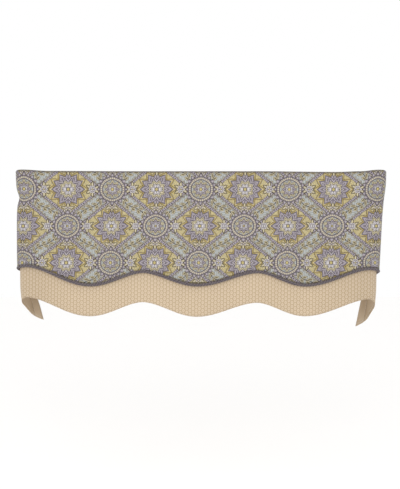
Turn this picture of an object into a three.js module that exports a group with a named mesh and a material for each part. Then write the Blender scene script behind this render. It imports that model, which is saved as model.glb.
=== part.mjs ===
// A scalloped rod-pocket window valance, hanging as it does on a flat curtain rod with returns.
// Millimetres. +X runs along the window to the right, +Y back to the wall, +Z up.
// The origin is the middle of the front's top edge, where the rod holds the cloth up.
//
// Every cloth is worked out from two flat coordinates: `along`, the place across the flat
// width, 0 in the middle, and `depth`, the distance down from the top edge.
import * as THREE from "three";
import { mergeVertices } from "three/addons/utils/BufferGeometryUtils.js";

// Cut sizes
const FLAT_WIDTH = 1252; // from one return's back edge to the other's
const HALF_WIDTH = FLAT_WIDTH / 2;
const POCKET_DEPTH = 77; // from the top edge to the stitches under the rod pocket
const RETURN_DEPTH = 89; // from the front to the wall
const WALL_GAP = 2;
const FACE_THICK = 1.2;
const UNDER_THICK = 1.4;
const LINING_THICK = 1;
const SEAM_GAP = 0.4; // between neighbouring cloths where they are sewn together

// Rod pocket
const FOLD_RADIUS = 6.5; // of the top edge, over the rod
const FOLD_STEPS = 4;
const FOLD_TURN_DOWN = 9; // how far the face cloth goes down behind the fold
const FRONT_SWELL = 4; // how far the rod pushes the front out past the stitched face
const LINING_BACK = 2 * FOLD_RADIUS - FRONT_SWELL; // and how far back the lining then lies
const POCKET_ROWS = [18, 40, 63]; // depths at which the pocket's shape is worked out
const UNDER_TOP = POCKET_ROWS.at(-1); // the under panel's seam allowance ends here, inside the pocket

// Twisted cord along the face panel's edge
const CORD_RADIUS = 4.5;
const CORD_VALLEY_RADIUS = 3.3; // between two strands
const CORD_STRANDS = 3;
const CORD_LAY = 27; // length of one whole turn of a strand
const CORD_STEPS_PER_LAY = 8;
const CORD_PROUD = 2.9; // its centre stands this far in front of the face cloth
const CORD_PROUD_ON_RETURN = -2.2; // and sinks to here, behind its front, once round the corner
const CORD_ABOVE = 4.4; // the face cloth ends this far above the cord's centre, square to the cord
const CORD_ABOVE_ON_RETURN = 5.1;
const CORD_END_GAP = 3; // the cord stops this far short of the returns' back edges

const LINING_SHORT = 0.03; // the lining stops short of the hem by this share of the way from the cord
const BACK_BEND_RADIUS = 14; // where a return's back edge turns in along the wall

const degrees = THREE.MathUtils.degToRad;

// How the cloth hangs at each depth. left and right are how far the corners reach from the
// middle, radius is the corners' rounding, slide is how far the cloth's middle has moved to
// the left, leftLean and rightLean are how far the returns turn in past square, and tuck is
// how far their back edges then bend in along the wall, in degrees.
const HANG = [
  { depth: 0, left: 548, right: 548, radius: 22, slide: 0, leftLean: 0, rightLean: 0, tuck: 0 },
  { depth: 77, left: 546, right: 545, radius: 22, slide: 1, leftLean: 1, rightLean: 1, tuck: 4 },
  { depth: 130, left: 549, right: 541, radius: 24, slide: 3, leftLean: 3, rightLean: 2, tuck: 12 },
  { depth: 200, left: 550, right: 538, radius: 27, slide: 5, leftLean: 6, rightLean: 3, tuck: 26 },
  { depth: 270, left: 550, right: 535, radius: 30, slide: 7, leftLean: 9, rightLean: 4, tuck: 42 },
  { depth: 350, left: 546, right: 530, radius: 32, slide: 8, leftLean: 9, rightLean: 5, tuck: 58 },
  { depth: 400, left: 538, right: 524, radius: 33, slide: 9, leftLean: 9, rightLean: 5, tuck: 66 },
  { depth: 460, left: 530, right: 518, radius: 34, slide: 9, leftLean: 9, rightLean: 5, tuck: 72 },
];
const HANG_COLUMNS = ["left", "right", "radius", "slide", "leftLean", "rightLean", "tuck"];

// The crests and dips of the two scalloped edges: the depth of the cord's centre line and of
// the under panel's hem.
const SCALLOPS = [
  { along: -645, cord: 304, hem: 453 },
  { along: -505, cord: 279, hem: 372 },
  { along: -318, cord: 335.5, hem: 428 },
  { along: -163, cord: 296, hem: 386 },
  { along: -4, cord: 335.5, hem: 429 },
  { along: 174, cord: 296.5, hem: 388 },
  { along: 316, cord: 336, hem: 428 },
  { along: 503, cord: 287.5, hem: 378 },
  { along: 652, cord: 318, hem: 477 },
];
const CREST_NARROWING = 0.87;

// Soft swells that grow from the pocket's stitches down to the hem. rise is how far the cloth
// stands forward at the hem, and spread is half the swell's width.
const SWELLS = [
  { along: -420, spread: 75, rise: 2.5 },
  { along: -300, spread: 60, rise: -2 },
  { along: -170, spread: 70, rise: 2 },
  { along: -85, spread: 45, rise: -1.5 },
  { along: 5, spread: 50, rise: 3 },
  { along: 95, spread: 50, rise: -2 },
  { along: 225, spread: 60, rise: 3.5 },
  { along: 350, spread: 45, rise: -2.5 },
  { along: 440, spread: 40, rise: 3 },
];

// How far the top edge stands above its middle: the corners of the rod hold it up.
const TOP_LINE = [
  { along: -635, rise: 2 },
  { along: -530, rise: 5 },
  { along: -450, rise: 1 },
  { along: -200, rise: 0 },
  { along: 160, rise: 0 },
  { along: 400, rise: -2 },
  { along: 470, rise: 0 },
  { along: 525, rise: 4.5 },
  { along: 635, rise: 1 },
];

// The stitches draw the left corner in.
const LEFT_PINCH = { along: -552, spread: 32, draw: 4.5, depthSpread: 16 };

// Round the corners and on the returns the face cloth stands off the under panel, most at the
// cord's depth.
const CORNER = { start: 490, end: 540 };
const STAND_OFF = { gap: 5.4, depth: 290, depthSpread: 75 };

const hangAt = new THREE.CubicInterpolant(
  HANG.map((row) => row.depth),
  HANG.flatMap((row) => HANG_COLUMNS.map((column) => row[column])),
  HANG_COLUMNS.length,
);

function hang(depth) {
  const [left, right, radius, slide, leftLean, rightLean, tuck] = hangAt.evaluate(depth);
  return { left, right, radius, slide, leftLean, rightLean, tuck };
}

// A bell of height 1, spread wide either side of its middle.
function bell(distance, spread) {
  return Math.exp(-((distance / spread) ** 2));
}

// A wave through a table's crests and dips, level at each one. A narrowing under 1 draws the
// places with the smaller values in and widens the others.
function wave(table, column, along, narrowing = 1) {
  const last = table.length - 2;
  const i = Math.min(Math.max(table.findLastIndex((row) => row.along <= along), 0), last);
  const t = (along - table[i].along) / (table[i + 1].along - table[i].along);
  const from = table[i][column];
  const to = table[i + 1][column];
  const share = (1 - Math.cos(Math.PI * t)) / 2;
  const shareOfMore = from < to ? share : 1 - share;
  return Math.min(from, to) + Math.abs(to - from) * shareOfMore ** narrowing;
}

// How deep the cord or the hem hangs. The crests are narrower than the dips.
function scallop(edge, along) {
  return wave(SCALLOPS, edge, along, CREST_NARROWING);
}

// The place and heading after a walk along legs, each one straight or an even bend.
function walk(legs, distance) {
  const place = { x: 0, y: 0, heading: 0 };
  let rest = distance;
  for (const leg of legs) {
    const step = Math.min(rest, leg.length);
    const halfTurn = (leg.turn * step) / leg.length / 2;
    const chord = halfTurn ? (step * Math.sin(halfTurn)) / halfTurn : step;
    place.x += chord * Math.cos(place.heading + halfTurn);
    place.y += chord * Math.sin(place.heading + halfTurn);
    place.heading += 2 * halfTurn;
    rest -= step;
    if (rest <= 0) break;
  }
  return place;
}

// The stretches of the right or left half at one depth, seen from above: along the front,
// round the corner, back to the wall, and in along it with whatever width is left.
function halfPlan(depth, isLeft) {
  const at = hang(depth);
  const corner = degrees(90 + (isLeft ? at.leftLean : at.rightLean));
  const tuck = degrees(at.tuck);
  const front = (isLeft ? at.left - at.slide : at.right + at.slide) - at.radius;
  const backAfterCorner = at.radius * (1 - Math.cos(corner));
  const backInBend = BACK_BEND_RADIUS * (Math.cos(corner) - Math.cos(corner + tuck));
  const returnLength = (RETURN_DEPTH - WALL_GAP - backAfterCorner - backInBend) / Math.sin(corner);
  return [
    { length: front, turn: 0 },
    { length: at.radius * corner, turn: corner },
    { length: returnLength, turn: 0 },
    { length: Math.max(BACK_BEND_RADIUS * tuck, 1e-3), turn: tuck },
    { length: HALF_WIDTH, turn: 0 },
  ];
}

// How far the hanging cloth stands forward of its plan curve.
function relief(along, depth) {
  const growth = THREE.MathUtils.smoothstep(depth, POCKET_DEPTH, 460);
  const swells = SWELLS.map((swell) => swell.rise * bell(along - swell.along, swell.spread));
  const pinch =
    LEFT_PINCH.draw *
    bell(along - LEFT_PINCH.along, LEFT_PINCH.spread) *
    bell(depth - POCKET_DEPTH, LEFT_PINCH.depthSpread);
  return growth * swells.reduce((sum, rise) => sum + rise, 0) - pinch;
}

const FACE_PLANE = FOLD_RADIUS - FRONT_SWELL; // the stitched face lies this far before the fold's middle

// The point of the hanging cloth at a flat place, moved out by `out` along its normal.
function clothPoint(along, depth, out) {
  const isLeft = along < 0;
  const place = walk(halfPlan(depth, isLeft), Math.abs(along));
  const push = out + relief(along, depth);
  const side = isLeft ? -1 : 1;
  const lift = wave(TOP_LINE, "rise", along) * Math.max(1 - depth / POCKET_DEPTH, 0);
  return new THREE.Vector3(
    side * (place.x + push * Math.sin(place.heading)) - hang(depth).slide,
    place.y - push * Math.cos(place.heading) - FACE_PLANE,
    lift - depth,
  );
}

// The shape of the rod pocket, from 0 at the stitches to 1 where the rod holds it open.
function pocketSwell(depth) {
  return Math.sin((Math.PI / 2) * THREE.MathUtils.clamp((POCKET_DEPTH - depth) / (0.6 * POCKET_DEPTH), 0, 1));
}

// 0 on the front, rising round a corner to 1 on the return.
function returnShare(along) {
  return THREE.MathUtils.smoothstep(Math.abs(along), CORNER.start, CORNER.end);
}

// How far behind the face cloth's front the cloths below it lie, looser lower down.
function looseness(along, depth) {
  const slack = 0.7 * THREE.MathUtils.smoothstep(depth, POCKET_DEPTH, 150);
  const standOff = STAND_OFF.gap * bell(depth - STAND_OFF.depth, STAND_OFF.depthSpread);
  return slack + standOff * returnShare(along);
}

// Flat places of the columns: far apart on the front, close round the corners and back bends.
function columnPlaces() {
  const half = [];
  for (let along = 0; along < 480; along += 20) half.push(along);
  for (let along = 480; along < 590; along += 11) half.push(along);
  for (let along = 590; along < HALF_WIDTH; along += 6) half.push(along);
  half.push(HALF_WIDTH);
  return [...half.slice(1).reverse().map((along) => -along), ...half];
}

const COLUMNS = columnPlaces();

// A closed sheet. rows is the number of rows, and outerAt and innerAt give the points of its
// two faces at a column's flat place and a row.
function sheetGeometry(rows, outerAt, innerAt) {
  const points = [];
  const across = COLUMNS.length;
  for (const pointAt of [outerAt, innerAt]) {
    for (let row = 0; row < rows; row += 1) {
      for (const along of COLUMNS) points.push(...pointAt(along, row).toArray());
    }
  }
  const index = [];
  const at = (layer, row, column) => (layer * rows + row) * across + column;
  const quad = (a, b, c, d) => index.push(a, b, c, a, c, d);
  for (let row = 0; row + 1 < rows; row += 1) {
    for (let column = 0; column + 1 < across; column += 1) {
      const next = column + 1;
      quad(at(0, row, column), at(0, row + 1, column), at(0, row + 1, next), at(0, row, next));
      quad(at(1, row, column), at(1, row, next), at(1, row + 1, next), at(1, row + 1, column));
    }
    quad(at(0, row, 0), at(1, row, 0), at(1, row + 1, 0), at(0, row + 1, 0));
    const end = across - 1;
    quad(at(0, row, end), at(0, row + 1, end), at(1, row + 1, end), at(1, row, end));
  }
  for (let column = 0; column + 1 < across; column += 1) {
    const next = column + 1;
    const foot = rows - 1;
    quad(at(0, 0, column), at(0, 0, next), at(1, 0, next), at(1, 0, column));
    quad(at(0, foot, column), at(1, foot, column), at(1, foot, next), at(0, foot, next));
  }
  const geometry = new THREE.BufferGeometry();
  geometry.setAttribute("position", new THREE.Float32BufferAttribute(points, 3));
  geometry.setIndex(index);
  geometry.computeVertexNormals();
  return geometry;
}

// Rows that every cloth shares below the pocket, so that their facets lie parallel: 0 is the
// line of stitches, 1 the face panel's edge, and 2 the hem of the cloth behind it.
const FACE_ROWS = [0, 0.25, 0.5, 0.75, 1];
const LINING_ROWS = [...FACE_ROWS, 1.4, 2 - LINING_SHORT];
const HEM_ROWS = [...LINING_ROWS, 2];

function faceEdge(along) {
  const slope = (scallop("cord", along + 1) - scallop("cord", along - 1)) / 2;
  const above = THREE.MathUtils.lerp(CORD_ABOVE, CORD_ABOVE_ON_RETURN, returnShare(along));
  return scallop("cord", along) - above * Math.hypot(1, slope);
}

function hangingDepth(along, share) {
  const edge = faceEdge(along);
  if (share <= 1) return THREE.MathUtils.lerp(POCKET_DEPTH, edge, share);
  return THREE.MathUtils.lerp(edge, scallop("hem", along), share - 1);
}

// The printed cloth: from its turned-down edge behind, over the fold, down the pocket's front
// and on to the cord.
function facePanel() {
  const foldSection = Array.from({ length: FOLD_STEPS + 1 }, (_, i) => (Math.PI * i) / FOLD_STEPS);
  const foldMiddle = FRONT_SWELL - FOLD_RADIUS;
  const rows = [
    { back: true, depth: FOLD_RADIUS + FOLD_TURN_DOWN },
    ...foldSection.map((turn) => ({ turn })),
    ...POCKET_ROWS.map((depth) => ({ depth })),
    ...FACE_ROWS.map((share) => ({ share })),
  ];
  const pointAt = (inset) => (along, row) => {
    const { back, depth, turn, share } = rows[row];
    if (back) return clothPoint(along, depth, foldMiddle - FOLD_RADIUS + inset);
    if (turn !== undefined) {
      const radius = FOLD_RADIUS - inset;
      return clothPoint(along, FOLD_RADIUS - radius * Math.sin(turn), foldMiddle - radius * Math.cos(turn));
    }
    if (share !== undefined) return clothPoint(along, hangingDepth(along, share), -inset);
    return clothPoint(along, depth, FRONT_SWELL * pocketSwell(depth) - inset);
  };
  return sheetGeometry(rows.length, pointAt(0), pointAt(FACE_THICK));
}

// The cream cloth behind and below it, caught in the pocket's stitches.
function underPanel() {
  const pointAt = (inset) => (along, row) => {
    const depth = row ? hangingDepth(along, HEM_ROWS[row - 1]) : UNDER_TOP;
    return clothPoint(along, depth, -FACE_THICK - SEAM_GAP - looseness(along, depth) - inset);
  };
  return sheetGeometry(HEM_ROWS.length + 1, pointAt(0), pointAt(UNDER_THICK));
}

// The lining: the pocket's back, then down behind the under panel.
function lining() {
  const pocketRows = [FOLD_RADIUS + FOLD_TURN_DOWN + SEAM_GAP, ...POCKET_ROWS.slice(1)];
  const seam = FACE_THICK + SEAM_GAP + UNDER_THICK + SEAM_GAP;
  const pointAt = (inset) => (along, row) => {
    const share = LINING_ROWS[row - pocketRows.length];
    const depth = share === undefined ? pocketRows[row] : hangingDepth(along, share);
    const swell = (LINING_BACK - seam - LINING_THICK) * pocketSwell(depth);
    return clothPoint(along, depth, -seam - swell - 1.5 * looseness(along, depth) - inset);
  };
  return sheetGeometry(pocketRows.length + LINING_ROWS.length, pointAt(0), pointAt(LINING_THICK));
}

// The cord's centre line, evenly stepped, from the left return to the right one.
function cordRoute(step) {
  const fine = 4;
  const end = HALF_WIDTH - CORD_END_GAP;
  const count = Math.round((2 * end) / fine);
  const points = Array.from({ length: count + 1 }, (_, i) => {
    const along = -end + (2 * end * i) / count;
    const proud = THREE.MathUtils.lerp(CORD_PROUD, CORD_PROUD_ON_RETURN, returnShare(along));
    return clothPoint(along, scallop("cord", along), proud);
  });
  const curve = new THREE.CatmullRomCurve3(points, false, "centripetal");
  return curve.getSpacedPoints(Math.round(curve.getLength() / step));
}

// Three strands laid up into one cord: a lobed section that turns as it goes.
function lipCord() {
  const route = cordRoute(CORD_LAY / CORD_STEPS_PER_LAY);
  const corners = 2 * CORD_STRANDS;
  const positions = [];
  const up = new THREE.Vector3(0, 0, 1);
  route.forEach((centre, i) => {
    const before = route[Math.max(i - 1, 0)];
    const after = route[Math.min(i + 1, route.length - 1)];
    const ahead = after.clone().sub(before).normalize();
    const out = ahead.clone().cross(up).normalize();
    const over = out.clone().cross(ahead);
    for (let k = 0; k < corners; k += 1) {
      const angle = 2 * Math.PI * (k / corners + i / CORD_STEPS_PER_LAY);
      const radius = k % 2 ? CORD_VALLEY_RADIUS : CORD_RADIUS;
      const spoke = out.clone().multiplyScalar(radius * Math.cos(angle));
      spoke.addScaledVector(over, radius * Math.sin(angle));
      positions.push(...centre.clone().add(spoke).toArray());
    }
  });
  const index = [];
  const last = route.length - 1;
  for (let i = 0; i < last; i += 1) {
    for (let k = 0; k < corners; k += 1) {
      const a = i * corners + k;
      const b = i * corners + ((k + 1) % corners);
      index.push(a, b + corners, b, a, a + corners, b + corners);
    }
  }
  for (const [ring, isStart] of [[0, true], [last, false]]) {
    const middle = positions.length / 3;
    positions.push(...route[ring].toArray());
    for (let k = 0; k < corners; k += 1) {
      const a = ring * corners + k;
      const b = ring * corners + ((k + 1) % corners);
      if (isStart) index.push(middle, a, b);
      else index.push(middle, b, a);
    }
  }
  const geometry = new THREE.BufferGeometry();
  geometry.setAttribute("position", new THREE.Float32BufferAttribute(positions, 3));
  geometry.setIndex(index);
  return mergeVertices(geometry);
}

function cloth(name, geometry, color, roughness) {
  const mesh = new THREE.Mesh(geometry, new THREE.MeshStandardMaterial({ color, roughness, metalness: 0 }));
  mesh.name = name;
  return mesh;
}

const valance = new THREE.Group();
valance.add(
  cloth("face_panel", facePanel(), 0xa0998c, 0.85),
  cloth("lip_cord", lipCord(), 0x716b6b, 0.7),
  cloth("under_panel", underPanel(), 0xd5bfa5, 0.85),
  cloth("lining", lining(), 0xbda991, 0.9),
);

export default valance;
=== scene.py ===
import math

import bpy
import numpy as np
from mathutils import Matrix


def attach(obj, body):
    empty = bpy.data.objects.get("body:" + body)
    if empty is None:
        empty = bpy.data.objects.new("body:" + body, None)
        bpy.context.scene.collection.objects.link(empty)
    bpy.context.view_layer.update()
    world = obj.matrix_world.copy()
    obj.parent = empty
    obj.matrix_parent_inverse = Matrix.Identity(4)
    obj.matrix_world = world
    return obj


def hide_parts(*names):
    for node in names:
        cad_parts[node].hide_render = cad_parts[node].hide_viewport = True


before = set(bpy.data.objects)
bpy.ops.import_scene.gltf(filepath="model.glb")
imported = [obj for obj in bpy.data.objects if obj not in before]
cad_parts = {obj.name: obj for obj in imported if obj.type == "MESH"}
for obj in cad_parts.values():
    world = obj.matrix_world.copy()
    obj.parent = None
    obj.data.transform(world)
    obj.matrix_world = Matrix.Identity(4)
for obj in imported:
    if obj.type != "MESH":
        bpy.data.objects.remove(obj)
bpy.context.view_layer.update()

# Sizes are in millimetres, as in the part's source, until a mesh is made.
MM = 0.001

# The cloths, flat. Depths are measured down from the top edge, and places along from the middle.
HALF_WIDTH = 626.0
POCKET_DEPTH = 77.0
UNDER_TOP = 63.0
LINING_SHORT = 3.0
SIDE_HEM = 20.0
FACE_THICK = 1.2
UNDER_THICK = 1.4
LINING_THICK = 1.0
SEAM_GAP = 0.4

# The fold over the rod, and how far the rod pushes the pocket's front out
FOLD_RADIUS = 6.5
FOLD_TURN_DOWN = 9.0
FRONT_SWELL = 4.0
LINING_BACK = 2 * FOLD_RADIUS - FRONT_SWELL
FACE_PLANE = FOLD_RADIUS - FRONT_SWELL

# The corners and the returns, whose back edges turn in along the wall
RETURN_DEPTH = 89.0
WALL_GAP = 2.0
CORNER_START = 490.0
CORNER_END = 540.0
BACK_BEND_RADIUS = 14.0

# Where the stitches draw the left corner in
PINCH_PLACE = -552.0
PINCH_DRAW = 4.5
PINCH_ACROSS = 32.0
PINCH_DOWN = 16.0

# How far the cloths behind the face panel hang away from it
SLACK = 0.7
SLACK_FULL_DEPTH = 150.0
STAND_OFF = 5.4
STAND_OFF_DEPTH = 290.0
STAND_OFF_SPREAD = 75.0
LINING_LOOSENESS = 1.5

# The gathers either side of the pocket's stitches, and how far these draw the cloths together
PUCKER_HEIGHT = 0.5
PUCKER_SPREAD = 9.0
STITCH_DRAW = 0.5
STITCH_DRAW_SPREAD = 2.2
LINING_DRAW = 0.35
LINING_DRAW_SPREAD = 2.5

# The twisted cord, and where it lies on the face panel's edge
CORD_RADIUS = 4.5
CORD_LAY = 27.0
CORD_STRANDS = 3
CORD_END_GAP = 3.0
CORD_PROUD = 2.9
CORD_PROUD_ON_RETURN = -2.2
CORD_ABOVE = 4.4
CORD_ABOVE_ON_RETURN = 5.1
STRAND_SIDES = 10
STEPS_PER_LAY = 16
ROUTE_POINTS = 2400

# The stitches
STITCH_PITCH = 3.4
STITCH_LENGTH = 2.5
STITCH_RADIUS = 0.32
STITCH_SIDES = 6
STITCH_CLEARANCE = 0.12
SEAM_POINTS = 1200
SEAM_END_GAP = 2.0
HEM_STITCH_RISE = 5.0
TURNED_EDGE_RISE = 3.0
SIDE_SEAM_TOP = 20.0
SIDE_SEAM_END_GAP = 10.0
SIDE_SEAM_POINTS = 300

# How the cloth hangs at each depth, as in the part's source: the corners' reach to the left
# and right, their rounding, the slide of the cloth's middle to the left, the returns' lean in
# past square, and the tuck of their back edges, in degrees.
HANG_COLUMNS = ("depth", "left", "right", "radius", "slide", "left_lean", "right_lean", "tuck")
HANG = (
    (0, 548, 548, 22, 0, 0, 0, 0),
    (77, 546, 545, 22, 1, 1, 1, 4),
    (130, 549, 541, 24, 3, 3, 2, 12),
    (200, 550, 538, 27, 5, 6, 3, 26),
    (270, 550, 535, 30, 7, 9, 4, 42),
    (350, 546, 530, 32, 8, 9, 5, 58),
    (400, 538, 524, 33, 9, 9, 5, 66),
    (460, 530, 518, 34, 9, 9, 5, 72),
)

# Crests and dips: flat place across the width, depth of the cord, depth of the hem.
SCALLOPS = (
    (-645, 304, 453),
    (-505, 279, 372),
    (-318, 335.5, 428),
    (-163, 296, 386),
    (-4, 335.5, 429),
    (174, 296.5, 388),
    (316, 336, 428),
    (503, 287.5, 378),
    (652, 318, 477),
)
CREST_NARROWING = 0.87

# Soft swells: flat place, half width, and how far forward at the depth where they are full.
SWELLS = (
    (-420, 75, 2.5),
    (-300, 60, -2),
    (-170, 70, 2),
    (-85, 45, -1.5),
    (5, 50, 3),
    (95, 50, -2),
    (225, 60, 3.5),
    (350, 45, -2.5),
    (440, 40, 3),
)
SWELL_FULL_DEPTH = 460.0

# The top edge: flat place, and height above its middle.
TOP_LINE = (
    (-635, 2),
    (-530, 5),
    (-450, 1),
    (-200, 0),
    (160, 0),
    (400, -2),
    (470, 0),
    (525, 4.5),
    (635, 1),
)


def column(table, index):
    return np.array([row[index] for row in table], float)


def wave(table, index, along, narrowing=1.0):
    """A wave through a table's crests and dips, level at each one. A narrowing under 1 draws
    the places with the smaller values in and widens the others."""
    places, values = column(table, 0), column(table, index)
    i = np.clip(np.searchsorted(places, along, side="right") - 1, 0, len(places) - 2)
    t = (along - places[i]) / (places[i + 1] - places[i])
    share = (1 - np.cos(math.pi * t)) / 2
    share_of_more = np.where(values[i] < values[i + 1], share, 1 - share)
    rise = np.abs(values[i + 1] - values[i])
    return np.minimum(values[i], values[i + 1]) + rise * share_of_more**narrowing


def hang(name, depth):
    """One column of HANG at these depths, by a smooth curve through its rows."""
    xs, ys = column(HANG, 0), column(HANG, HANG_COLUMNS.index(name))
    slopes = np.gradient(ys, xs)
    i = np.clip(np.searchsorted(xs, depth, side="right") - 1, 0, len(xs) - 2)
    span = xs[i + 1] - xs[i]
    t = (depth - xs[i]) / span
    rise = ys[i + 1] - ys[i]
    start, end = slopes[i] * span, slopes[i + 1] * span
    return ys[i] + t * (start + t * (3 * rise - 2 * start - end + t * (start + end - 2 * rise)))


def bell(distance, spread):
    return np.exp(-((distance / spread) ** 2))


def smoothstep(x, low, high):
    t = np.clip((x - low) / (high - low), 0, 1)
    return t * t * (3 - 2 * t)


def unit(vectors):
    return vectors / np.linalg.norm(vectors, axis=-1, keepdims=True)


def lengths_along(route):
    """How far along a route each of its points lies."""
    return np.concatenate(([0], np.cumsum(np.linalg.norm(np.diff(route, axis=0), axis=1))))


def points_along(route, at):
    """The points of a route at these lengths along it."""
    travelled = lengths_along(route)
    return np.stack([np.interp(at, travelled, route[:, axis]) for axis in range(3)], axis=-1)


def tube_quads(number):
    """Faces between neighbouring rings of a tube, from each ring's point numbers."""
    following = np.roll(number, -1, axis=1)
    quads = np.stack((number[:-1], following[:-1], following[1:], number[1:]), axis=-1)
    return quads.reshape(-1, 4)


def plan_point(along, depth):
    """Place and heading on the cloth's plan curve, seen from above."""
    is_left = along < 0
    radius = hang("radius", depth)
    slide = hang("slide", depth)
    reach = np.where(is_left, hang("left", depth) - slide, hang("right", depth) + slide)
    lean = np.where(is_left, hang("left_lean", depth), hang("right_lean", depth))
    corner = np.radians(90 + lean)
    tuck = np.radians(hang("tuck", depth))
    back_in_corner = radius * (1 - np.cos(corner))
    back_in_bend = BACK_BEND_RADIUS * (np.cos(corner) - np.cos(corner + tuck))
    straight_back = (RETURN_DEPTH - WALL_GAP - back_in_corner - back_in_bend) / np.sin(corner)
    legs = (
        (reach - radius, 0 * radius),
        (radius * corner, corner),
        (straight_back, 0 * radius),
        (np.maximum(BACK_BEND_RADIUS * tuck, 1e-3), tuck),
        (HALF_WIDTH + 0 * radius, 0 * radius),
    )
    x, y, heading = 0 * radius, 0 * radius, 0 * radius
    rest = np.abs(along) + 0 * radius
    for length, turn in legs:
        step = np.clip(rest, 0, length)
        half_turn = turn * step / length / 2
        chord = step * np.sinc(half_turn / math.pi)
        x = x + chord * np.cos(heading + half_turn)
        y = y + chord * np.sin(heading + half_turn)
        heading = heading + 2 * half_turn
        rest = rest - step
    return x, y, heading, np.where(is_left, -1, 1), slide


def relief(along, depth):
    """How far the hanging cloth stands forward of its plan curve."""
    growth = smoothstep(depth, POCKET_DEPTH, SWELL_FULL_DEPTH)
    swells = sum(rise * bell(along - place, spread) for place, spread, rise in SWELLS)
    near_pinch = bell(along - PINCH_PLACE, PINCH_ACROSS) * bell(depth - POCKET_DEPTH, PINCH_DOWN)
    return growth * swells - PINCH_DRAW * near_pinch


def cloth_point(along, depth, out):
    """Points of the hanging cloth, moved out along its normal, in metres."""
    along, depth, out = np.broadcast_arrays(*(np.asarray(v, float) for v in (along, depth, out)))
    x, y, heading, side, slide = plan_point(along, depth)
    push = out + relief(along, depth)
    lift = wave(TOP_LINE, 1, along) * np.maximum(1 - depth / POCKET_DEPTH, 0)
    return MM * np.stack(
        (
            side * (x + push * np.sin(heading)) - slide,
            y - push * np.cos(heading) - FACE_PLANE,
            lift - depth,
        ),
        axis=-1,
    )


def return_share(along):
    """0 on the front, rising round a corner to 1 on the return."""
    return smoothstep(np.abs(along), CORNER_START, CORNER_END)


def cord_depth(along):
    return wave(SCALLOPS, 1, along, CREST_NARROWING)


def face_edge(along):
    slope = (cord_depth(along + 1) - cord_depth(along - 1)) / 2
    above = CORD_ABOVE + (CORD_ABOVE_ON_RETURN - CORD_ABOVE) * return_share(along)
    return cord_depth(along) - above * np.hypot(1, slope)


def hem_depth(along):
    return wave(SCALLOPS, 2, along, CREST_NARROWING)


def pocket_swell(depth):
    """0 at the pocket's stitches, rising to 1 in its upper part."""
    return np.sin(math.pi / 2 * np.clip((POCKET_DEPTH - depth) / (0.6 * POCKET_DEPTH), 0, 1))


def looseness(along, depth):
    """How far the cloths behind the face panel hang away from it."""
    slack = SLACK * smoothstep(depth, POCKET_DEPTH, SLACK_FULL_DEPTH)
    stand_off = STAND_OFF * return_share(along) * bell(depth - STAND_OFF_DEPTH, STAND_OFF_SPREAD)
    return slack + stand_off


def pucker(along, depth):
    """Small gathers either side of the pocket's stitches, which draw the cloth in."""
    from_stitches = depth - POCKET_DEPTH
    ripple = np.sin(along / 4.1 + 1.7 * np.sin(along / 23)) + 0.6 * np.sin(along / 2.3 + 1)
    gathers = PUCKER_HEIGHT * ripple * bell(from_stitches, PUCKER_SPREAD)
    return gathers - STITCH_DRAW * bell(from_stitches, STITCH_DRAW_SPREAD)


def column_places(spacing):
    return np.linspace(-HALF_WIDTH, HALF_WIDTH, int(round(2 * HALF_WIDTH / spacing)) + 1)


def new_object(name, points, faces, smooth=True):
    mesh = bpy.data.meshes.new(name)
    mesh.from_pydata(points.reshape(-1, 3).tolist(), [], faces)
    mesh.polygons.foreach_set("use_smooth", [smooth] * len(mesh.polygons))
    made = bpy.data.objects.new(name, mesh)
    bpy.context.scene.collection.objects.link(made)
    return made


def add_flat_places(made, flat):
    """Keeps each point's flat place for the materials: along, down the cloth from its first
    edge, and 1 on its back. On a thread these are the length, the way round and the strand."""
    stored = made.data.attributes.new("flat", "FLOAT_VECTOR", "POINT")
    stored.data.foreach_set("vector", flat.astype(np.float32).ravel())


def make_sheet(name, along, depths, outs, thickness):
    """A closed sheet over a grid. depths and outs hold each row's flat depth and its place out
    from the plan curve for every column, and thickness is measured in from there."""
    rows, across = depths.shape
    grid = np.broadcast_to(along, depths.shape)
    sections = np.stack((depths, outs), axis=-1)
    ahead = unit(np.gradient(sections, axis=0))
    inward = np.stack((ahead[..., 1], -ahead[..., 0]), axis=-1)
    inner = sections + inward * thickness
    points = np.stack(
        (
            cloth_point(grid, sections[..., 0], sections[..., 1]),
            cloth_point(grid, inner[..., 0], inner[..., 1]),
        )
    )
    number = np.arange(2 * rows * across).reshape(2, rows, across)

    def quads(a, b, c, d):
        return np.stack((a, b, c, d), axis=-1).reshape(-1, 4).tolist()

    front, back = number
    faces = quads(front[:-1, :-1], front[1:, :-1], front[1:, 1:], front[:-1, 1:])
    faces += quads(back[:-1, :-1], back[:-1, 1:], back[1:, 1:], back[1:, :-1])
    faces += quads(front[:-1, 0], back[:-1, 0], back[1:, 0], front[1:, 0])
    faces += quads(front[:-1, -1], front[1:, -1], back[1:, -1], back[:-1, -1])
    faces += quads(front[0, :-1], front[0, 1:], back[0, 1:], back[0, :-1])
    faces += quads(front[-1, :-1], back[-1, :-1], back[-1, 1:], front[-1, 1:])
    made = new_object(name, points, faces)
    steps = np.linalg.norm(np.diff(sections, axis=0, prepend=sections[:1]), axis=-1)
    flat = np.stack((grid, np.cumsum(steps, axis=0), np.zeros_like(grid)), axis=-1)
    behind = flat.copy()
    behind[..., 2] = 1
    add_flat_places(made, np.stack((flat, behind)))
    return made


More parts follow.
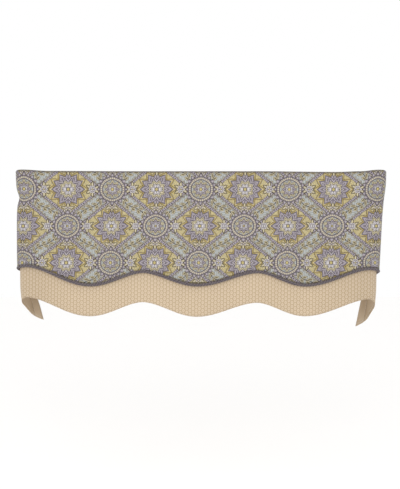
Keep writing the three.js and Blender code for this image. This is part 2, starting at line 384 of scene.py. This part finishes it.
def face_sections(along):
    """Depth and place out of each row of the face panel, from behind, over the fold, down."""
    middle = FRONT_SWELL - FOLD_RADIUS
    behind = np.linspace(FOLD_RADIUS + FOLD_TURN_DOWN, FOLD_RADIUS + 2, 4)
    turns = np.linspace(0, math.pi, 13)
    pocket = np.linspace(FOLD_RADIUS + 4, POCKET_DEPTH - 6, 16)
    below_seam = POCKET_DEPTH + 4
    seam = np.linspace(POCKET_DEPTH - 4, below_seam, 7)
    depths, outs = [], []
    for depth in behind:
        depths.append(depth + 0 * along)
        outs.append(middle - FOLD_RADIUS + 0 * along)
    for turn in turns:
        depths.append(FOLD_RADIUS - FOLD_RADIUS * math.sin(turn) + 0 * along)
        outs.append(middle - FOLD_RADIUS * math.cos(turn) + 0 * along)
    for depth in (*pocket, *seam):
        depths.append(depth + 0 * along)
        outs.append(FRONT_SWELL * pocket_swell(depth) + pucker(along, depth))
    for share in np.linspace(0, 1, 46)[1:]:
        depth = below_seam + (face_edge(along) - below_seam) * share
        depths.append(depth)
        outs.append(pucker(along, depth))
    return np.array(depths), np.array(outs)


def make_face_panel():
    along = column_places(4.0)
    depths, outs = face_sections(along)
    made = make_sheet("face_cloth", along, depths, outs, FACE_THICK)
    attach(made, "root")
    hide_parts("face_panel")
    return made


def hanging_rows(along, last_edge, first_rows, count):
    """Level rows of depths, then rows that change by even steps into the last edge's line."""
    rows = [depth + 0 * along for depth in first_rows]
    start = first_rows[-1]
    rows += [start + (last_edge - start) * share for share in np.linspace(0, 1, count + 1)[1:]]
    return np.array(rows)


def make_under_panel():
    along = column_places(5.0)
    depths = hanging_rows(along, hem_depth(along), (UNDER_TOP, 70, POCKET_DEPTH), 50)
    outs = -FACE_THICK - SEAM_GAP - looseness(along, depths)
    made = make_sheet("under_cloth", along, depths, outs, UNDER_THICK)
    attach(made, "root")
    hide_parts("under_panel")
    return made


def lining_out(along, depth):
    """Where the lining's front lies, in from the plan curve."""
    seam = FACE_THICK + SEAM_GAP + UNDER_THICK + SEAM_GAP
    swell = (LINING_BACK - seam - LINING_THICK) * pocket_swell(depth)
    draw = LINING_DRAW * bell(depth - POCKET_DEPTH, LINING_DRAW_SPREAD)
    return -seam - swell - LINING_LOOSENESS * looseness(along, depth) + draw


def make_lining():
    along = column_places(6.0)
    top = FOLD_RADIUS + FOLD_TURN_DOWN + SEAM_GAP
    first = (*np.linspace(top, POCKET_DEPTH - 6, 12), POCKET_DEPTH - 3, POCKET_DEPTH)
    depths = hanging_rows(along, hem_depth(along) - LINING_SHORT, first, 44)
    outs = lining_out(along, depths)
    made = make_sheet("lining_cloth", along, depths, outs, LINING_THICK)
    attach(made, "root")
    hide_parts("lining")
    return made


def make_cord():
    """Three strands laid up round the cord's centre line."""
    end = HALF_WIDTH - CORD_END_GAP
    along = np.linspace(-end, end, ROUTE_POINTS)
    proud = CORD_PROUD + (CORD_PROUD_ON_RETURN - CORD_PROUD) * return_share(along)
    route = cloth_point(along, cord_depth(along), proud)
    total = lengths_along(route)[-1]
    steps = int(total / MM / CORD_LAY * STEPS_PER_LAY)
    at = np.linspace(0, total, steps + 1)
    centre = points_along(route, at)
    ahead = unit(np.gradient(centre, axis=0))
    out = unit(np.cross(ahead, (0, 0, 1)))
    over = np.cross(out, ahead)
    strand_radius = CORD_RADIUS / (1 + 2 / math.sqrt(3))
    offset = CORD_RADIUS - strand_radius
    angles = 2 * math.pi * np.arange(STRAND_SIDES) / STRAND_SIDES - math.pi
    points, faces, flats = [], [], []
    for strand in range(CORD_STRANDS):
        turn = 2 * math.pi * (at / MM / CORD_LAY + strand / CORD_STRANDS)
        spoke = out * np.cos(turn)[:, None] + over * np.sin(turn)[:, None]
        line = centre + MM * offset * spoke
        direction = unit(np.gradient(line, axis=0))
        away = unit(spoke - direction * np.sum(spoke * direction, axis=1)[:, None])
        cross = np.cross(direction, away)
        base = sum(len(p) for p in points)
        ring = away[:, None] * np.cos(angles)[:, None] + cross[:, None] * np.sin(angles)[:, None]
        points.append((line[:, None] + MM * strand_radius * ring).reshape(-1, 3))
        flat = ((at / MM)[:, None], angles[None, :] * strand_radius, float(strand))
        flats.append(np.stack(np.broadcast_arrays(*flat), axis=-1).reshape(-1, 3))
        number = base + np.arange((steps + 1) * STRAND_SIDES).reshape(steps + 1, STRAND_SIDES)
        faces += tube_quads(number).tolist()
        faces += [number[0][::-1].tolist(), number[-1].tolist()]
    made = new_object("twisted_cord", np.concatenate(points), faces)
    add_flat_places(made, np.concatenate(flats))
    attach(made, "root")
    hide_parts("lip_cord")
    return made


def make_stitches(name, seams):
    """Small tapered stitches along seams, each an array of points in metres."""
    ring_at = np.array([-1, -0.72, 0, 0.72, 1])
    ring_radius = np.array([0.25, 0.8, 1, 0.8, 0.25])
    rings = len(ring_at)
    angles = 2 * math.pi * np.arange(STITCH_SIDES) / STITCH_SIDES
    number = np.arange(rings * STITCH_SIDES).reshape(rings, STITCH_SIDES)
    one = tube_quads(number)
    points, faces, flats = [], [], []
    for seam in seams:
        at = np.arange(STITCH_PITCH, lengths_along(seam)[-1] / MM, STITCH_PITCH) * MM
        centre = points_along(seam, at)
        ahead = unit(np.gradient(centre, axis=0))
        aside = unit(np.cross(ahead, (0.3, 0.9, 0.31)))
        over = np.cross(ahead, aside)
        ring = aside[:, None] * np.cos(angles)[:, None] + over[:, None] * np.sin(angles)[:, None]
        placed = (
            centre[:, None, None]
            + MM * STITCH_LENGTH / 2 * ring_at[:, None, None] * ahead[:, None, None]
            + MM * STITCH_RADIUS * ring_radius[:, None, None] * ring[:, None]
        )
        start = sum(len(p) for p in points)
        count = len(at)
        points.append(placed.reshape(-1, 3))
        run = np.broadcast_to(ring_at[:, None] * STITCH_LENGTH / 2, (count, rings, STITCH_SIDES))
        turn = np.broadcast_to(angles * STITCH_RADIUS, run.shape)
        flats.append(np.stack((run, turn, 0 * run), axis=-1).reshape(-1, 3))
        offsets = start + rings * STITCH_SIDES * np.arange(count)
        faces += (one[None] + offsets[:, None, None]).reshape(-1, 4).tolist()
        faces += (number[0][::-1][None] + offsets[:, None]).tolist()
        faces += (number[-1][None] + offsets[:, None]).tolist()
    made = new_object(name, np.concatenate(points), faces)
    add_flat_places(made, np.concatenate(flats))
    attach(made, "root")
    return made


def lining_seams():
    """The pocket's stitches as they show behind, the hem's, and the returns' side hems."""
    behind = LINING_THICK + STITCH_CLEARANCE
    end = HALF_WIDTH - SEAM_END_GAP
    along = np.linspace(-end, end, SEAM_POINTS)
    seams = []
    hem_stitches = hem_depth(along) - LINING_SHORT - HEM_STITCH_RISE
    for depth in (POCKET_DEPTH + 0 * along, hem_stitches):
        seams.append(cloth_point(along, depth, lining_out(along, depth) - behind))
    for place in (-HALF_WIDTH + SIDE_HEM, HALF_WIDTH - SIDE_HEM):
        depth = np.linspace(SIDE_SEAM_TOP, hem_depth(place) - SIDE_SEAM_END_GAP, SIDE_SEAM_POINTS)
        seams.append(cloth_point(place, depth, lining_out(place, depth) - behind))
    return seams


def face_seams():
    """The pocket's stitches in front, and those of the edge that is turned down behind."""
    end = HALF_WIDTH - SEAM_END_GAP
    along = np.linspace(-end, end, SEAM_POINTS)
    pocket = cloth_point(along, POCKET_DEPTH, pucker(along, POCKET_DEPTH) + STITCH_CLEARANCE)
    turned_depth = FOLD_RADIUS + FOLD_TURN_DOWN - TURNED_EDGE_RISE
    turned = cloth_point(along, turned_depth, -LINING_BACK - STITCH_CLEARANCE)
    return [pocket, turned]


face_cloth = make_face_panel()
under_cloth = make_under_panel()
lining_cloth = make_lining()
cord = make_cord()
lining_stitches = make_stitches("lining_stitches", lining_seams())
face_stitches = make_stitches("face_stitches", face_seams())


def srgb(red, green, blue):
    """A colour given in 0 to 255 as a render shows it, as linear light."""
    values = [v / 255 for v in (red, green, blue)]
    return (*(v / 12.92 if v <= 0.04045 else ((v + 0.055) / 1.055) ** 2.4 for v in values), 1)


class Number:
    """A number at each point of a surface, worked out by the shader nodes of a material."""

    def __init__(self, cloth, socket):
        self.cloth = cloth
        self.socket = socket

    def math(self, operation, *others):
        return self.cloth.math(operation, self, *others)

    def __add__(self, other):
        return self.math("ADD", other)

    def __sub__(self, other):
        return self.math("SUBTRACT", other)

    def __mul__(self, other):
        return self.math("MULTIPLY", other)

    def __truediv__(self, other):
        return self.math("DIVIDE", other)

    def __rsub__(self, other):
        return self.cloth.math("SUBTRACT", other, self)

    __radd__ = __add__
    __rmul__ = __mul__

    def __abs__(self):
        return self.math("ABSOLUTE")

    def __gt__(self, other):
        return self.math("GREATER_THAN", other)

    def __lt__(self, other):
        return self.math("LESS_THAN", other)

    def within(self, low, high):
        return self.math("COMPARE", (low + high) / 2, (high - low) / 2)

    def ripple(self, pitch, start=0.0):
        """A wave from 0 to 1 and back, once in each pitch."""
        return ((self + start) * (2 * math.pi / pitch)).math("SINE").math("MULTIPLY_ADD", 0.5, 0.5)

    def fold(self, pitch):
        """How far the nearest whole number of pitches is, either way."""
        return abs(self.math("WRAP", pitch / 2, -pitch / 2))


class Cloth:
    """A material made from arithmetic on the flat places that its mesh keeps."""

    def __init__(self, name, roughness, sheen, sheen_roughness, specular=0.25):
        self.material = bpy.data.materials.new(name)
        self.material.use_nodes = True
        self.tree = self.material.node_tree
        self.shader = self.tree.nodes["Principled BSDF"]
        self.shader.inputs["Roughness"].default_value = roughness
        self.shader.inputs["Specular IOR Level"].default_value = specular
        self.shader.inputs["Sheen Weight"].default_value = sheen
        self.shader.inputs["Sheen Roughness"].default_value = sheen_roughness
        places = self.node("ShaderNodeAttribute", attribute_name="flat")
        self.flat = places.outputs["Vector"]
        parts = self.node("ShaderNodeSeparateXYZ")
        self.tree.links.new(self.flat, parts.inputs[0])
        self.along, self.row, self.behind = (Number(self, socket) for socket in parts.outputs)
        self.color = None

    def node(self, kind, **settings):
        made = self.tree.nodes.new(kind)
        for name, value in settings.items():
            setattr(made, name, value)
        return made

    def feed(self, socket, value):
        if isinstance(value, Number):
            self.tree.links.new(value.socket, socket)
        elif isinstance(value, bpy.types.NodeSocket):
            self.tree.links.new(value, socket)
        else:
            socket.default_value = value

    def math(self, operation, *values):
        made = self.node("ShaderNodeMath", operation=operation)
        for socket, value in zip(made.inputs, values):
            self.feed(socket, value)
        return Number(self, made.outputs[0])

    def vector(self, x, y, z):
        made = self.node("ShaderNodeCombineXYZ")
        for socket, value in zip(made.inputs, (x, y, z)):
            self.feed(socket, value)
        return made.outputs[0]

    def noise(self, size, detail=2.0, stretch=(1, 1, 1)):
        """Noise from about 0.2 to 0.8, whose patches are size millimetres across."""
        scaled = self.node("ShaderNodeVectorMath", operation="MULTIPLY")
        self.feed(scaled.inputs[0], self.flat)
        scaled.inputs[1].default_value = tuple(1 / (size * s) for s in stretch)
        made = self.node("ShaderNodeTexNoise")
        made.inputs["Scale"].default_value = 1.0
        made.inputs["Detail"].default_value = detail
        self.feed(made.inputs["Vector"], scaled.outputs[0])
        return Number(self, made.outputs[0])

    def swirl(self, x, y, size):
        """Soft noise over two given coordinates, so that it mirrors as they do."""
        made = self.node("ShaderNodeTexNoise")
        made.inputs["Scale"].default_value = 1 / size
        made.inputs["Detail"].default_value = 1.0
        self.feed(made.inputs["Vector"], self.vector(x, y, 3.7))
        return Number(self, made.outputs[0])

    def around(self, x, y):
        """Distance from a point, and the angle round it from straight up."""
        distance = (x * x + y * y).math("SQRT")
        return distance, self.math("ARCTAN2", x, 0 - y)

    def petals(self, distance, angle, count, inner, outer, width):
        """How far inside the nearest petal of a ring of petals a place lies."""
        sector = 2 * math.pi / count
        share = (distance - inner) / (outer - inner)
        half_width = (share - share * share) * (2 * width)
        return half_width - distance * angle.fold(sector)

    def side_shade_share(self, start, spread):
        """0 across the front, rising from a flat place either side to 1 past the spread, for painted
        shade toward the sides.
        """
        share = (abs(self.along) - start) / spread
        return share.math("MAXIMUM", 0.0).math("MINIMUM", 1.0)

    def base(self, color):
        self.color = color

    def paint(self, mask, color):
        made = self.node("ShaderNodeMix", data_type="RGBA")
        self.feed(made.inputs[0], mask)
        self.feed(made.inputs[6], self.color)
        self.feed(made.inputs[7], color)
        self.color = made.outputs[2]

    def shade(self, share):
        """Multiplies the colour by a number."""
        made = self.node("ShaderNodeVectorMath", operation="SCALE")
        self.feed(made.inputs[0], self.color)
        self.feed(made.inputs["Scale"], share)
        self.color = made.outputs[0]

    def finish(self, height, depth_mm, roughness=None):
        """Gives the shader its colour, and its bump from a height of 0 to 1."""
        bump = self.node("ShaderNodeBump")
        bump.inputs["Strength"].default_value = 1.0
        bump.inputs["Distance"].default_value = depth_mm * MM
        self.feed(bump.inputs["Height"], height)
        self.feed(self.shader.inputs["Normal"], bump.outputs[0])
        self.feed(self.shader.inputs["Base Color"], self.color)
        if roughness is not None:
            self.feed(self.shader.inputs["Roughness"], roughness)
        return self.material


BLUE_LIGHT = srgb(184, 190, 187)
BLUE = srgb(150, 157, 157)
GOLD = srgb(204, 188, 124)
GOLD_DEEP = srgb(178, 158, 98)
OLIVE = srgb(124, 113, 84)
CREAM = srgb(212, 202, 172)
VIOLET_DARK = srgb(84, 76, 92)
VIOLET = srgb(128, 120, 132)
LILAC = srgb(178, 170, 180)
WHITE = srgb(216, 212, 214)
TAUPE = srgb(66, 58, 56)

# The print: its trellis's steps from one crossing to the next, a row that has crossings, and
# the sizes of its shapes
TRELLIS_ACROSS = 130.0
TRELLIS_DOWN = 108.0
TRELLIS_LEG = math.hypot(TRELLIS_ACROSS, TRELLIS_DOWN)
TRELLIS_START = 77.0
BAND_HALF_WIDTH = 21.0
WHEEL_RADIUS = 37.0
FLOWER_RADIUS = 12.0
FLOWER_PETALS = 6
OUTLINE = 1.5

# The jacquard's repeat
OVAL_ACROSS = 9.4
OVAL_DOWN = 11.6

# Painted shade along the top fold, in the face panel's rows
FOLD_ROW = 21.5
FOLD_SHADE = 10.0


def beads(edge, run, middle, pitch, radius):
    """Round beads in a row, at a distance from an edge."""
    across = edge - middle
    on = run.fold(pitch)
    return across * across + on * on < radius * radius


def outlined(cloth, inside, fill):
    """A filled shape with a fine line round it. inside is the distance in from its edge."""
    cloth.paint(inside > -OUTLINE, TAUPE)
    cloth.paint(inside > 0, fill)


def flower(cloth, x, y, fill, heart):
    """A flower with two rings of petals over a ring of leaves."""
    radius, petals = FLOWER_RADIUS, FLOWER_PETALS
    distance, angle = cloth.around(x, y)
    leaf = cloth.petals(distance, angle, petals, radius * 0.4, radius * 1.8, radius * 0.6)
    outlined(cloth, leaf, OLIVE)
    cloth.paint(leaf > 1.4, CREAM)
    cloth.paint(leaf > 3.6, GOLD_DEEP)
    petal = cloth.petals(distance, angle + 0.4, petals, radius * 0.2, radius, radius * 4.6 / petals)
    outlined(cloth, petal, fill)
    cloth.paint(petal > 2.2, LILAC)
    petal = cloth.petals(distance, angle, petals - 1, radius * 0.1, radius * 0.66, radius * 3.4 / petals)
    outlined(cloth, petal, VIOLET)
    cloth.paint(petal > 1.4, fill)
    cloth.paint(distance < radius * 0.26, TAUPE)
    cloth.paint(distance < radius * 0.17, heart)


def frilled(cloth, inside, run, reach, pitch, fill, tip):
    """A fringe of pointed leaves along the outside of an edge."""
    leaf = inside + reach - run.fold(pitch) * (1.6 * reach / pitch)
    outlined(cloth, leaf, fill)
    cloth.paint((leaf > 1.6) * (run.fold(pitch) < pitch * 0.22), tip)


def rosette(cloth, distance, angle, rings):
    """Rings of petals, the largest first, each with a count, a reach, a width and two colours."""
    for count, reach, width, fill, vein in rings:
        petal = cloth.petals(distance, angle, count, reach * 0.12, reach, width)
        outlined(cloth, petal, fill)
        cloth.paint(petal > width * 0.16, vein)
        cloth.paint(petal > width * 0.3, fill)


def printed_cloth():
    """A diamond trellis of leafy bands, with a wheel where they cross and a large rosette in
    each diamond."""
    cloth = Cloth("printed_cotton", roughness=0.82, sheen=0.15, sheen_roughness=0.45)
    across = cloth.along.fold(2 * TRELLIS_ACROSS)
    down = (cloth.row - TRELLIS_START).fold(2 * TRELLIS_DOWN)
    hand = cloth.swirl(across, down, 13.0)
    scroll = cloth.swirl(across, down, 30.0)
    x = across + (hand - 0.5) * 5
    y = down + (scroll - 0.5) * 7

    # Places measured from the nearest crossing, and from the nearest diamond's middle
    beyond = x / TRELLIS_ACROSS + y / TRELLIS_DOWN > 1
    knot_x = x + beyond * (TRELLIS_ACROSS - 2 * x)
    knot_y = y + beyond * (TRELLIS_DOWN - 2 * y)
    under = x / TRELLIS_ACROSS - y / TRELLIS_DOWN > 0
    heart_x = x + under * (TRELLIS_ACROSS - 2 * x)
    heart_y = TRELLIS_DOWN - y + under * (2 * y - TRELLIS_DOWN)
    off_band = (x * TRELLIS_DOWN - y * TRELLIS_ACROSS) / TRELLIS_LEG
    run = (x * TRELLIS_ACROSS + y * TRELLIS_DOWN) / TRELLIS_LEG

    # Bands with fine slanting strokes
    strokes = run + abs(off_band) * 0.8 + scroll * 12
    cloth.base(BLUE_LIGHT)
    cloth.paint(strokes.ripple(7.0) * 0.9, BLUE)
    cloth.paint((strokes.fold(7.0) < 0.9) * 0.7, WHITE)

    # Gold diamonds with a beaded edge and a fringe of small leaves
    field = abs(off_band) - BAND_HALF_WIDTH
    frilled(cloth, field, run, 8, TRELLIS_LEG / 16, CREAM, VIOLET)
    cloth.paint(field > -2.4, TAUPE)
    cloth.paint(field > -1.0, LILAC)
    cloth.paint(field > 5.2, TAUPE)
    cloth.paint(beads(field, run, 2.1, TRELLIS_LEG / 26, 1.9), VIOLET_DARK)
    inside_field = field > 6.4
    cloth.paint(inside_field, GOLD)
    cloth.paint(inside_field * (field + scroll * 20).ripple(8.0) * 0.6, GOLD_DEEP)
    cloth.paint(inside_field * scroll.fold(0.06).within(0.008, 0.018), CREAM)
    cloth.paint(inside_field * (scroll.fold(0.06) < 0.004), OLIVE)

    # Vine along each band
    vine = off_band - (run.ripple(TRELLIS_LEG / 2) * 12 - 6)
    on = run.math("WRAP", 8.5, -8.5)
    leaf = 4.8 - on * on * 0.09 - abs(abs(vine) - 5.6 - on * 0.4)
    in_band = field < -3
    cloth.paint(in_band * (leaf > -1.2), TAUPE)
    cloth.paint(in_band * (leaf > 0), CREAM)
    cloth.paint(in_band * (leaf > 2.0), OLIVE)
    cloth.paint(in_band * (abs(vine) < 1.1), TAUPE)

    # A large rosette in each diamond, and a small flower in each of its corners
    distance, angle = cloth.around(heart_x, heart_y)
    rosette(cloth, distance, angle, (
        (12, 58, 24, GOLD_DEEP, CREAM),
        (12, 49, 22, VIOLET, LILAC),
        (9, 38, 20, LILAC, VIOLET_DARK),
        (9, 27, 15, CREAM, OLIVE),
        (7, 17, 11, WHITE, VIOLET),
    ))
    cloth.paint(distance < 6, TAUPE)
    cloth.paint(distance < 4.4, GOLD)
    flower(cloth, heart_x - 72, heart_y, WHITE, GOLD)
    flower(cloth, heart_x, heart_y - 61, CREAM, VIOLET)

    # A wheel over each crossing
    distance, angle = cloth.around(knot_x, knot_y)
    wheel = WHEEL_RADIUS - distance
    rim = angle * WHEEL_RADIUS
    frilled(cloth, wheel, rim, 10, WHEEL_RADIUS * math.pi / 10, VIOLET, LILAC)
    outlined(cloth, wheel, VIOLET)
    cloth.paint(beads(wheel, rim, 4.4, WHEEL_RADIUS * math.pi / 18, 2.4), CREAM)
    cloth.paint(wheel > 8.6, TAUPE)
    cloth.paint(wheel > 10, BLUE_LIGHT)
    cloth.paint((wheel > 10) * ((wheel + scroll * 8).fold(4.4) < 0.8), VIOLET)
    rosette(cloth, distance, angle, (
        (10, 27, 13, CREAM, OLIVE),
        (8, 20, 11, VIOLET, LILAC),
        (6, 12, 8, WHITE, VIOLET_DARK),
    ))
    cloth.paint(distance < 4.4, TAUPE)
    cloth.paint(distance < 3.2, GOLD)

    # Fine ink strokes, the paler reverse, painted shade along the top fold, and the weave
    fine = cloth.swirl(across, down, 8.0)
    cloth.paint((fine.fold(0.12) < 0.011) * 0.4, TAUPE)
    cloth.paint(fine.fold(0.12).within(0.044, 0.054) * 0.3, CREAM)
    cloth.paint(cloth.behind * 0.62, srgb(206, 200, 188))
    threads = cloth.along.ripple(1.25) * cloth.row.ripple(1.1)
    blotch = cloth.noise(70.0, 2.0)
    # Painted shade: taupe laid along the top fold, strongest on its middle row
    painted_fold_shade = 1 - abs(cloth.row - FOLD_ROW) / FOLD_SHADE
    cloth.paint(painted_fold_shade.math("MAXIMUM", 0.0) * 0.85, TAUPE)
    # Painted shade: the colour darkens toward both sides
    cloth.shade(0.8 + blotch * 0.2 + threads * 0.08 - cloth.side_shade_share(470, 90) * 0.08)
    weave = threads + cloth.noise(1.6, 1.0, (1, 3, 1)) * 0.5
    soft = cloth.noise(65.0, 0.0, (1, 2, 1))
    return cloth.finish(weave + soft * 22, 0.16, 0.74 + blotch * 0.2)


def cream_cloth():
    """A cream jacquard: a half-drop repeat of pale ovals, each round a small darker dot."""
    cloth = Cloth("cream_jacquard", roughness=0.8, sheen=0.1, sheen_roughness=0.5)
    wander = cloth.noise(14.0, 1.0)
    across = cloth.along / OVAL_ACROSS + wander * 0.06
    down = cloth.row / OVAL_DOWN + wander * 0.06
    half_drop = across.math("FLOOR") * 0.5
    x = (across.math("FRACT") - 0.5) * OVAL_ACROSS
    y = ((down + half_drop).math("FRACT") - 0.5) * OVAL_DOWN
    oval = (x * x + y * y * 0.62).math("SQRT")
    blotch = cloth.noise(90.0, 2.0)
    cloth.base(srgb(190, 167, 138))
    ring = oval < 3.7
    dot = oval < 1.2
    cloth.paint(across.ripple(1.0) * 0.4, srgb(202, 180, 150))
    cloth.paint(ring * 0.85, srgb(218, 200, 174))
    cloth.paint(dot * 0.7, srgb(176, 152, 120))
    threads = cloth.along.ripple(0.9) * cloth.row.ripple(0.9)
    # Painted shade: the colour darkens toward both sides
    cloth.shade(0.94 + blotch * 0.1 + threads * 0.05 - cloth.side_shade_share(330, 150) * 0.09)
    soft = cloth.noise(55.0, 0.0, (1, 2.2, 1))
    return cloth.finish(threads * 0.5 + ring * 0.9 - dot * 0.4 + soft * 22, 0.22, 0.9 - ring * 0.2)


def plain_lining():
    """A plain beige lining, a little uneven, with a hem at each side."""
    cloth = Cloth("lining_cotton", roughness=0.92, sheen=0.08, sheen_roughness=0.6)
    slubs = cloth.noise(3.0, 2.0, (5, 1, 1))
    blotch = cloth.noise(120.0, 2.0)
    threads = cloth.along.ripple(0.8) * cloth.row.ripple(0.8)
    from_side = HALF_WIDTH - abs(cloth.along)
    hem_edge = SIDE_HEM + 2
    side_hem = from_side.within(0, hem_edge)
    hem_crease_shade = from_side.within(hem_edge - 0.6, hem_edge + 0.6)
    cloth.base(srgb(189, 168, 141))
    cloth.paint(slubs * 0.5, srgb(171, 149, 122))
    cloth.paint(side_hem * 0.25, srgb(211, 194, 172))
    # Painted shade: a dark line along the fold of each side hem
    cloth.paint(hem_crease_shade * 0.8, srgb(118, 102, 84))
    cloth.shade(0.86 + blotch * 0.1 + threads * 0.06)
    soft = cloth.noise(70.0, 1.0, (1, 2.5, 1))
    return cloth.finish(threads * 0.3 + slubs * 0.12 + side_hem + soft * 12, 0.5)


def thread(name, light, dark):
    """Sewing thread, twisted and a little shiny."""
    cloth = Cloth(name, roughness=0.5, sheen=0.2, sheen_roughness=0.4, specular=0.4)
    twist = (cloth.along + cloth.row * 1.2).ripple(0.55)
    cloth.base(light)
    cloth.paint(twist * 0.7, dark)
    return cloth.finish(twist, 0.06, 0.45 + twist * 0.2)


def cord_yarn():
    """Violet-grey yarns, each strand with its own fine twist and a paler one now and then."""
    cloth = Cloth("cord_yarn", roughness=0.55, sheen=0.35, sheen_roughness=0.35, specular=0.4)
    yarn = cloth.along * 0.9 + cloth.row * 1.6
    valley_shade = (abs(cloth.row) * 0.4 - 0.5).math("MINIMUM", 1.0).math("MAXIMUM", 0.0)
    cloth.base(srgb(108, 97, 107))
    cloth.paint(yarn.ripple(1.5) * 0.5, srgb(142, 130, 139))
    cloth.paint((yarn.fold(6.0) < 0.6) * 0.7, srgb(188, 176, 164))
    cloth.paint(cloth.noise(5.0, 2.0) * 0.4, srgb(94, 84, 82))
    # Painted shade on each strand's flanks, in the valleys between the strands
    cloth.paint(valley_shade, srgb(56, 50, 56))
    fuzz = cloth.noise(0.8, 1.0)
    return cloth.finish(yarn.ripple(1.5) + fuzz * 0.3, 0.35, 0.5 + fuzz * 0.2)


face_cloth.data.materials.append(printed_cloth())
under_cloth.data.materials.append(cream_cloth())
lining_cloth.data.materials.append(plain_lining())
cord.data.materials.append(cord_yarn())
lining_thread = thread("lining_thread", srgb(236, 229, 216), srgb(200, 190, 174))
lining_stitches.data.materials.append(lining_thread)
face_thread = thread("face_thread", srgb(176, 170, 160), srgb(134, 128, 122))
face_stitches.data.materials.append(face_thread)

# The camera looks straight on, at about the height of the valance. Places are in metres.
CAMERA_PLACE = (-0.003, -1.6025, -0.2162)
LENS = 40.0
SENSOR_HEIGHT = 36.0
KEY_WATTS = 2.9
FILL_WATTS = 3.5
FLOOR_REACH = 6.0
FLOOR_LEVEL = -0.95

camera_data = bpy.data.cameras.new("camera")
camera_data.lens = LENS
camera_data.sensor_fit = "VERTICAL"
camera_data.sensor_height = SENSOR_HEIGHT
camera = bpy.data.objects.new("camera", camera_data)
camera.location = CAMERA_PLACE
camera.rotation_euler = (math.radians(90), 0, 0)
bpy.context.scene.collection.objects.link(camera)
bpy.context.scene.camera = camera


def add_area_light(name, place, target, size, power):
    """A square white light that points at its target."""
    data = bpy.data.lights.new(name, "AREA")
    data.shape = "SQUARE"
    data.size = size
    data.energy = power
    lamp = bpy.data.objects.new(name, data)
    lamp.location = place
    direction = np.array(target) - np.array(place)
    lamp.rotation_euler = (
        math.atan2(math.hypot(direction[0], direction[1]), -direction[2]),
        0,
        math.atan2(direction[1], direction[0]) - math.pi / 2,
    )
    bpy.context.scene.collection.objects.link(lamp)


add_area_light("key", (0.0, -1.3, 0.5), (0.0, 0.0, -0.25), 0.6, KEY_WATTS)
add_area_light("fill", (-1.8, -2.0, 0.2), (0.0, 0.0, -0.2), 1.8, FILL_WATTS)

world = bpy.data.worlds.new("studio")
world.use_nodes = True
background = world.node_tree.nodes["Background"]
background.inputs["Color"].default_value = (1, 1, 1, 1)
background.inputs["Strength"].default_value = 1.0
bpy.context.scene.world = world
bpy.context.scene.view_settings.view_transform = "Standard"

floor_corners = FLOOR_REACH * np.array([(-1, -1, 0), (1, -1, 0), (1, 1, 0), (-1, 1, 0)], float)
floor_corners[:, 2] = FLOOR_LEVEL
floor = new_object("floor", floor_corners, [(0, 1, 2, 3)], smooth=False)
floor_material = bpy.data.materials.new("pale_floor")
floor_material.use_nodes = True
floor_shader = floor_material.node_tree.nodes["Principled BSDF"]
floor_shader.inputs["Base Color"].default_value = srgb(255, 254, 253)
floor_shader.inputs["Roughness"].default_value = 0.8
floor.data.materials.append(floor_material)
